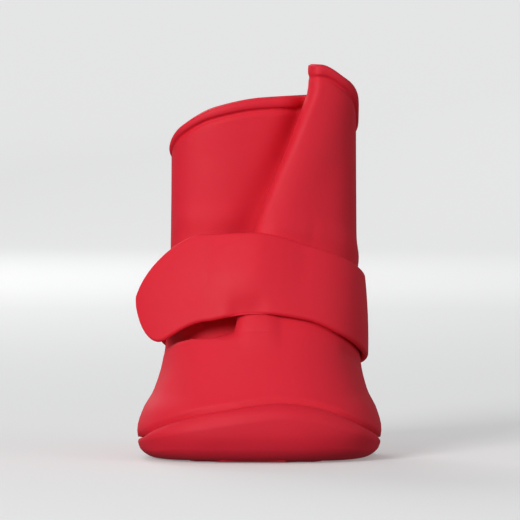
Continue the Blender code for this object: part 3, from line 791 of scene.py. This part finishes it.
def insole_rows():
    """Rings of the footbed: flat below, a rounded cut edge, and a face that dips a little."""
    base = PLATE_TOP + FIT_GAP
    edge_out = -WALL / 2 - JOGGLE - FIT_GAP
    one = np.ones((1, len(station)))
    edge = foot_rows(base * one, np.full((1, 1), edge_out - INSOLE_ROUND))[0]
    below = shrink_to_pole(edge, np.linspace(POLE_PART, 1.0, 5), lambda y: base + 0 * y)
    turn = np.linspace(-np.pi / 2, np.pi / 2, 9)[1:-1]
    rounded = []
    for angle in turn:
        out = np.full((1, 1), edge_out - INSOLE_ROUND * (1 - math.cos(angle)))
        ring = foot_rows(base * one, out)[0]
        ring[:, 2] = base + INSOLE_THICKNESS / 2 * (1 + math.sin(angle))
        rounded.append(ring)
    part = np.linspace(1.0, POLE_PART, 12)
    above = shrink_to_pole(edge, part, lambda y: base + INSOLE_THICKNESS + 0 * y)
    above[..., 2] -= INSOLE_DIP * ease((1 - part) / INSOLE_DIP_PART)[:, None]
    return np.concatenate([below, np.array(rounded), above])


def knitted_cloth(name, colour, light):
    """Charcoal knit on foam: ribs crossed with rows of loops, so it looks soft, matt and dry."""
    material = bpy.data.materials.new(name)
    material.use_nodes = True
    tree = material.node_tree
    shader = tree.nodes["Principled BSDF"]
    place = add_node(tree, "ShaderNodeTexCoord", {}).outputs["Object"]
    ribs = add_node(
        tree, "ShaderNodeTexWave",
        {
            "bands_direction": "X", "Scale": WAVE_LENGTH / RIB_SPACING,
            "Distortion": 1.5, "Detail": 1.0,
        },
        {"Vector": place},
    )
    loops = add_node(
        tree, "ShaderNodeTexWave",
        {
            "bands_direction": "Y", "Scale": WAVE_LENGTH / LOOP_SPACING,
            "Distortion": 1.0, "Detail": 1.0,
        },
        {"Vector": place},
    )
    knit = add_node(
        tree, "ShaderNodeMath", {"operation": "MULTIPLY"},
        {0: ribs.outputs["Fac"], 1: loops.outputs["Fac"]},
    )
    tint = add_node(tree, "ShaderNodeMix", {"data_type": "RGBA"}, {"Factor": knit.outputs[0]})
    tint.inputs["A"].default_value = linear(colour)
    tint.inputs["B"].default_value = linear(light)
    bump = add_node(
        tree, "ShaderNodeBump", {"Strength": 0.6, "Distance": 0.00015},
        {"Height": knit.outputs[0]},
    )
    tree.links.new(tint.outputs["Result"], shader.inputs["Base Color"])
    tree.links.new(bump.outputs["Normal"], shader.inputs["Normal"])
    shader.inputs["Roughness"].default_value = 0.92
    shader.inputs["Sheen Weight"].default_value = 0.25
    return material


insole_grid = insole_rows()
insole_faces = grid_faces(len(insole_grid), len(station), False).tolist()
insole_points = close_pole(
    insole_grid.reshape(-1, 3), insole_faces, 0, float(insole_grid[0, 0, 2]), False
)
last_ring = (len(insole_grid) - 1) * len(station)
insole_points = close_pole(
    insole_points, insole_faces, last_ring, float(insole_grid[-1, 0, 2]), True
)
insole_cloth = knitted_cloth("charcoal_knitted_insole_cloth", "#1d1d20", "#34343a")
insole = make_piece("insole_footbed", insole_points, insole_faces, insole_cloth)
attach(insole, "root")
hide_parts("insole")

# ----------------------------------------------------------------------------------------------
# Ankle strap. One wide band of the same soft PVC, moulded to the shaft on the outer side. It goes
# round the heel and the inner side, over the instep, and stands off as a free rounded tab in
# front of the band's root.
# ----------------------------------------------------------------------------------------------

STRAP_THICKNESS = 1.45
STRAP_GAP = 0.3
# turn: degrees from the back of the heel, over the inner side. low, high: the two edges.
STRAP_COLUMNS = ("turn", "low", "high", "crown")
STRAP_EDGES = (
    (-128.0, 29.6, 41.2, 0.2),
    (-102.0, 26.4, 39.8, 0.2),
    (-70.0, 22.6, 38.2, 0.3),
    (0.0, 17.6, 35.8, 0.6),
    (55.0, 18.8, 37.0, 0.4),
    (90.0, 21.8, 39.2, 0.3),
    (125.0, 26.2, 42.6, 0.6),
    (155.0, 29.9, 45.5, 0.9),
    (180.0, 31.0, 47.0, 0.9),
    (204.0, 29.5, 47.2, 0.8),
)
TAB_LENGTH = 17.9
TAB_START_ANGLE = 8.0    # the tab's heading where it leaves the boot, degrees back from sideways
TAB_END_ANGLE = 40.0
TAB_TIP_HEIGHT = 33.5
TAB_DROP = 7.4           # how far the tab's low edge falls
TAB_DROP_PART = 0.9
TAB_TOP_ROUND = 15.0     # length of the rounded end along the high edge and along the low edge
TAB_LOW_ROUND = 7.5
TAB_TOP_CORNER = 1.45    # 2 is an ellipse, less is more pointed
TAB_LOW_CORNER = 1.75
TAB_TIP_LEFT = 0.08      # part of the tab's height left at its very tip
TAB_TIP_SHARPER = 1.5    # how much shorter the tip is rounded than an edge
ROOT_TAPER = 6.5         # the root sinks into the wall over this length,
ROOT_DEPTH = 2.9         # this deep below the outline,
ROOT_THICKNESS = 0.5     # and thins to this part
# The ridge that the fold below pushes up in the band: x of its top, and its reach to each side.
RIDGE_PLACE = -0.4
RIDGE_RISE = 2.5
RIDGE_AT_LOW_EDGE = 0.4
RIDGE_FULL_ACROSS = 1.8  # the ridge is full from 1 / this part of the way across
RIDGE_LEFT = 18.0
RIDGE_RIGHT = 8.5
RIDGE_ROUND = 1.6
RIDGE_FOOT = 0.04
FRONT_START = 2.0
FRONT_BLEND = 4.0
# The pinch at the ridge's foot, where the low edge is drawn in over the fold's end.
PINCH_PLACE = -2.0
PINCH_WIDTH = 3.6
PINCH_REACH = 3.4
PINCH_DEPTH = 1.0
PINCH_MOST = 1.8         # in half thicknesses
# How finely it is cut: along the wrap, along the tab, across, and in each rounded edge.
WRAP_STEPS = 260
TAB_STEPS = (10, 44)
ACROSS_STEPS = 25
EDGE_STEPS = 9
STRAP_EDGE_PART = 0.055
BEND_BLEND = 8
BLEND_PASSES = 12


def strap_wrap(turns, across):
    """The stretch that hugs the boot: points and outward normals by (across, turn).

    It follows the outline at its low and its high edge, stands off it by the gap and half its
    thickness, and swells between its edges by the crown.
    """
    degrees = np.degrees(turns)
    low, high, crown = (
        read_table(STRAP_COLUMNS, STRAP_EDGES, degrees, name) for name in STRAP_COLUMNS[1:]
    )
    off = STRAP_GAP + STRAP_THICKNESS / 2
    low_point, low_normal = outline(turns, low)
    high_point, high_normal = outline(turns, high)
    part = across[:, None, None]
    normal = low_normal * (1 - part) + high_normal * part
    plan = low_point * (1 - part) + high_point * part
    plan = plan + normal * (off + crown[:, None] * 4 * part * (1 - part))
    height = low + (high - low) * across[:, None]
    points = np.concatenate([plan, height[:, :, None]], axis=-1)
    return points, unit(np.cross(np.gradient(points, axis=0), np.gradient(points, axis=1)))


def strap_tab(edge, runs, across):
    """The free tab: the wrap's last line carried along an arc that stands off the boot.

    Its high and low edges close on the tip as two quarter superellipses of different lengths.
    """
    fine = np.linspace(0.0, TAB_LENGTH, 401)
    heading = np.radians(
        TAB_START_ANGLE + (TAB_END_ANGLE - TAB_START_ANGLE) * fine / TAB_LENGTH
    )
    pace = fine[1]
    sideways = -np.concatenate([[0.0], np.cumsum(np.cos(heading[1:]) * pace)])
    backward = np.concatenate([[0.0], np.cumsum(np.sin(heading[1:]) * pace)])

    def rounding(length, corner):
        into = np.clip((runs - TAB_LENGTH + length) / length, 0, 1)
        return np.hypot((1 - into**corner) ** (1 / corner), TAB_TIP_LEFT)

    low_end, high_end = edge[0, 2], edge[-1, 2]
    low_line = low_end - TAB_DROP * ease(runs / TAB_LENGTH * TAB_DROP_PART)
    high_round = rounding(TAB_TOP_ROUND, TAB_TOP_CORNER)
    low_round = rounding(TAB_LOW_ROUND, TAB_LOW_CORNER)
    high = TAB_TIP_HEIGHT + (high_end - TAB_TIP_HEIGHT) * high_round
    low = TAB_TIP_HEIGHT - (TAB_TIP_HEIGHT - low_line) * low_round
    height = low + (high - low) * across[:, None]
    tall = high_end - low_end
    lean = (edge[-1, :2] - edge[0, :2]) / tall
    middle = edge[np.argmin(np.abs(edge[:, 2] - (low_end + high_end) / 2))]
    bulge = middle[:2] - edge[0, :2] - lean * (middle[2] - low_end)
    place = (height - low_end) / tall
    swell = (4 * place * (1 - place))[..., None]
    at = np.interp(runs, fine, heading)
    shift = np.stack([np.interp(runs, fine, sideways), np.interp(runs, fine, backward)], axis=-1)
    plan = edge[0, :2] + lean * (height - low_end)[..., None] + bulge * swell + shift
    points = np.concatenate([plan, height[..., None]], axis=-1)
    steep = (4 * (1 - 2 * place) / tall)[..., None]
    up = np.concatenate([lean + bulge * steep, np.ones_like(steep)], axis=-1)
    ahead = np.stack([-np.cos(at), np.sin(at), np.zeros_like(at)], axis=-1)
    return points, unit(np.cross(up, np.broadcast_to(ahead, up.shape)))


def edge_round(gap):
    """Part of the full thickness left at a distance from an edge: a quarter circle, then full."""
    radius = STRAP_THICKNESS / 2
    return np.sqrt(np.clip(1 - (1 - np.clip(gap / radius, 0, 1)) ** 2, 0.0, 1.0))


def strap_rows():
    """The strap as closed loops across it, from the root to the tab's tip.

    Its middle surface is the wrap and then the tab, raised by the ridge. Each face lies half a
    thickness off it, less towards the edges, the root and the tip, and the outer face is drawn
    in by the pinch.
    """
    turns = np.radians(np.linspace(STRAP_EDGES[0][0], STRAP_EDGES[-1][0], WRAP_STEPS))
    straight = np.linspace(0, TAB_LENGTH - TAB_TOP_ROUND, TAB_STEPS[0])[1:]
    round_turn = np.linspace(0, np.pi / 2, TAB_STEPS[1])[1:]
    rounded = TAB_LENGTH - TAB_TOP_ROUND * (1 - np.sin(round_turn))
    runs = np.concatenate([straight, rounded])
    near = (1 - np.cos(np.linspace(0, np.pi / 2, EDGE_STEPS))) * STRAP_EDGE_PART
    between = np.linspace(near[-1], 1 - near[-1], ACROSS_STEPS)[1:-1]
    across = np.concatenate([near, between, 1 - near[::-1]])
    wrap, wrap_out = strap_wrap(turns, across)
    tab, tab_out = strap_tab(wrap[:, -1], runs, across)
    middle = np.concatenate([wrap, tab], axis=1)
    out = np.concatenate([wrap_out, tab_out], axis=1)
    blend = slice(wrap.shape[1] - BEND_BLEND, wrap.shape[1] + BEND_BLEND)
    for _ in range(BLEND_PASSES):
        inner = out[:, blend]
        out[:, blend] = unit(
            inner + np.roll(out, 1, axis=1)[:, blend] + np.roll(out, -1, axis=1)[:, blend]
        )
    front = ease((-middle[..., 1] - FRONT_START) / FRONT_BLEND)
    aside = middle[..., 0] - RIDGE_PLACE
    away = np.sqrt(aside**2 + RIDGE_ROUND**2) - RIDGE_ROUND
    down = 1 - away / np.where(aside < 0, RIDGE_LEFT, RIDGE_RIGHT)
    ridge = RIDGE_RISE * (down + np.sqrt(down**2 + RIDGE_FOOT)) / 2
    above_low_edge = ease(across * RIDGE_FULL_ACROSS)[:, None]
    ridge *= RIDGE_AT_LOW_EDGE + (1 - RIDGE_AT_LOW_EDGE) * above_low_edge
    middle = middle + out * (front * ridge)[..., None]
    wide = middle[-1, :, 2] - middle[0, :, 2]
    above_edge = across[:, None] * wide
    pinch = np.exp(-(((middle[..., 0] - PINCH_PLACE) / PINCH_WIDTH) ** 4)) * front
    pinch = PINCH_DEPTH * pinch * np.exp(-((above_edge / PINCH_REACH) ** 2))
    from_edge = np.minimum(across, 1 - across)[:, None] * wide
    pace = np.linalg.norm(np.diff(middle[len(across) // 2], axis=0), axis=-1)
    along = np.concatenate([[0.0], np.cumsum(pace)])
    from_tip = along[-1] - along
    root = ROOT_THICKNESS + (1 - ROOT_THICKNESS) * ease(along / ROOT_TAPER)
    thick = edge_round(from_edge) * edge_round(from_tip * TAB_TIP_SHARPER) * root
    thick = thick * STRAP_THICKNESS / 2
    sink = (STRAP_THICKNESS / 2 + STRAP_GAP + ROOT_DEPTH) * (1 - ease(along / ROOT_TAPER))
    middle = middle - out * sink[:, None]
    offset = out * thick[..., None]
    face = middle + offset - out * np.minimum(pinch, PINCH_MOST * thick)[..., None]
    loops = np.concatenate([middle - offset, face[-2:0:-1]])
    return loops.transpose(1, 0, 2)


strap_grid = strap_rows()
steps, size = strap_grid.shape[:2]
strap_faces = grid_faces(steps, size, False).tolist()
strap_faces.append(np.arange(size).tolist())
strap_faces.append(((steps - 1) * size + np.arange(size))[::-1].tolist())
strap_rubber = rubber("injection_moulded_satin_pvc_strap", "#e21b30", "#e82138")
strap = make_piece("ankle_strap", strap_grid, strap_faces, strap_rubber)
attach(strap, "root")
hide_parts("strap")

# ----------------------------------------------------------------------------------------------
# Stage. A plain pale paper floor that curves up at its edges, soft light from the upper left in
# front, and a long-lens camera at floor-shoot height, a little to the boot's inner side.
# ----------------------------------------------------------------------------------------------

FLOOR_FRONT = 3000.0
FLOOR_BACK = 1270.0
FLOOR_SIDE = 2600.0
SWEEP_RADIUS = 500.0
BACK_WALL = 2200.0
LOW_WALL = 900.0
# The paper's own glow stands for light bounced about the room. It grows from GLOW_NEAR to
# GLOW_FAR, in metres from the boot.
PAPER_LIFT = 0.22
PAPER_LIFT_FAR = 0.52
GLOW_NEAR = 0.7
GLOW_FAR = 1.5
ROOM_LIGHT_LOW = 0.12
ROOM_LIGHT_HIGH = 0.31


def swept(reach, wall):
    """Half of the floor in one direction: distances out, and heights up its curved edge."""
    flat = np.linspace(0, reach, 9)[1:]
    turn = np.radians(np.linspace(0, 90, 25)[1:])
    out = np.concatenate([flat, reach + SWEEP_RADIUS * np.sin(turn), [reach + SWEEP_RADIUS]])
    return out, np.concatenate([0 * flat, SWEEP_RADIUS * (1 - np.cos(turn)), [wall]])


side_out, side_up = swept(FLOOR_SIDE, LOW_WALL)
front_out, front_up = swept(FLOOR_FRONT, LOW_WALL)
back_out, back_up = swept(FLOOR_BACK, BACK_WALL)
floor_x = np.concatenate([-side_out[::-1], side_out])
floor_y = np.concatenate([-front_out[::-1], back_out])
rise_x = np.concatenate([side_up[::-1], side_up])
rise_y = np.concatenate([front_up[::-1], back_up])
floor_parts = (floor_x[None, :], floor_y[:, None], rise_x[None, :] + rise_y[:, None])
floor_grid = np.stack(np.broadcast_arrays(*floor_parts), axis=-1)
row = np.arange(len(floor_y) - 1)[:, None, None] * len(floor_x)
corner = row + np.arange(len(floor_x) - 1)[None, :, None]
round_face = np.array([0, 1, len(floor_x) + 1, len(floor_x)])
floor_faces = (corner + round_face).reshape(-1, 4).tolist()
studio_paper = bpy.data.materials.new("matt_pale_studio_paper")
studio_paper.use_nodes = True
paper_shader = studio_paper.node_tree.nodes["Principled BSDF"]
paper_shader.inputs["Base Color"].default_value = linear("#dcdcdc")
paper_shader.inputs["Roughness"].default_value = 0.9
paper_shader.inputs["Specular IOR Level"].default_value = 0.0
paper_shader.inputs["Emission Color"].default_value = linear("#ffffff")
paper_place = add_node(studio_paper.node_tree, "ShaderNodeTexCoord", {}).outputs["Object"]
paper_far = add_node(
    studio_paper.node_tree, "ShaderNodeVectorMath", {"operation": "LENGTH"},
    {"Vector": paper_place},
)
paper_glow = add_node(
    studio_paper.node_tree, "ShaderNodeMapRange",
    {
        "From Min": GLOW_NEAR, "From Max": GLOW_FAR,
        "To Min": PAPER_LIFT, "To Max": PAPER_LIFT_FAR,
    },
    {"Value": paper_far.outputs["Value"]},
)
studio_paper.node_tree.links.new(
    paper_glow.outputs["Result"], paper_shader.inputs["Emission Strength"]
)
floor = make_piece("studio_floor", floor_grid, floor_faces, studio_paper)
floor.visible_diffuse = False
floor.visible_glossy = False

boot_middle = (Vector(cad_low) + Vector(cad_high)) / 2


def soft_light(name, turn, rise, distance, size, power):
    """A square area light aimed at the boot: turn from straight in front, rise above level."""
    data = bpy.data.lights.new(name, "AREA")
    data.size = size * 0.001
    data.energy = power
    light = bpy.data.objects.new(name, data)
    around, up = math.radians(turn), math.radians(rise)
    aim = Vector(
        (math.sin(around) * math.cos(up), -math.cos(around) * math.cos(up), math.sin(up))
    )
    light.location = boot_middle + aim * distance * 0.001
    light.rotation_euler = aim.to_track_quat("Z", "Y").to_euler()
    bpy.context.scene.collection.objects.link(light)


soft_light("key", -28.0, 18.0, 1200.0, 450.0, 10.4)
soft_light("fill", 62.0, 12.0, 1200.0, 600.0, 2.2)
soft_light("back", -155.0, 30.0, 1200.0, 600.0, 5.0)

world = bpy.data.worlds.new("pale_room")
bpy.context.scene.world = world
world.use_nodes = True
world.node_tree.nodes["Background"].inputs["Color"].default_value = linear("#f4f6f8")
world_place = add_node(world.node_tree, "ShaderNodeTexCoord", {}).outputs["Generated"]
world_parts = add_node(world.node_tree, "ShaderNodeSeparateXYZ", {}, {"Vector": world_place})
room = add_node(
    world.node_tree, "ShaderNodeMapRange",
    {"From Min": -0.3, "From Max": 0.5, "To Min": ROOM_LIGHT_LOW, "To Max": ROOM_LIGHT_HIGH},
    {"Value": world_parts.outputs["Z"]},
)
world.node_tree.links.new(
    room.outputs["Result"], world.node_tree.nodes["Background"].inputs["Strength"]
)
bpy.context.scene.view_settings.view_transform = "Standard"

CAMERA_DISTANCE = 1239.0
CAMERA_HEIGHT = 88.0
CAMERA_TURN = 4.0
VIEW_HEIGHT = 112.0
turn = math.radians(CAMERA_TURN)
camera_data = bpy.data.cameras.new("camera")
camera = bpy.data.objects.new("camera", camera_data)
camera.location = (
    0.001 * CAMERA_DISTANCE * math.sin(turn),
    -0.001 * CAMERA_DISTANCE * math.cos(turn),
    0.001 * CAMERA_HEIGHT,
)
camera.rotation_euler = (boot_middle - camera.location).to_track_quat("-Z", "Y").to_euler()
camera_data.sensor_width = 36.0
camera_data.lens = camera_data.sensor_width * CAMERA_DISTANCE / VIEW_HEIGHT
camera_data.clip_start = 0.05
camera_data.clip_end = 20.0
bpy.context.scene.collection.objects.link(camera)
bpy.context.scene.camera = camera
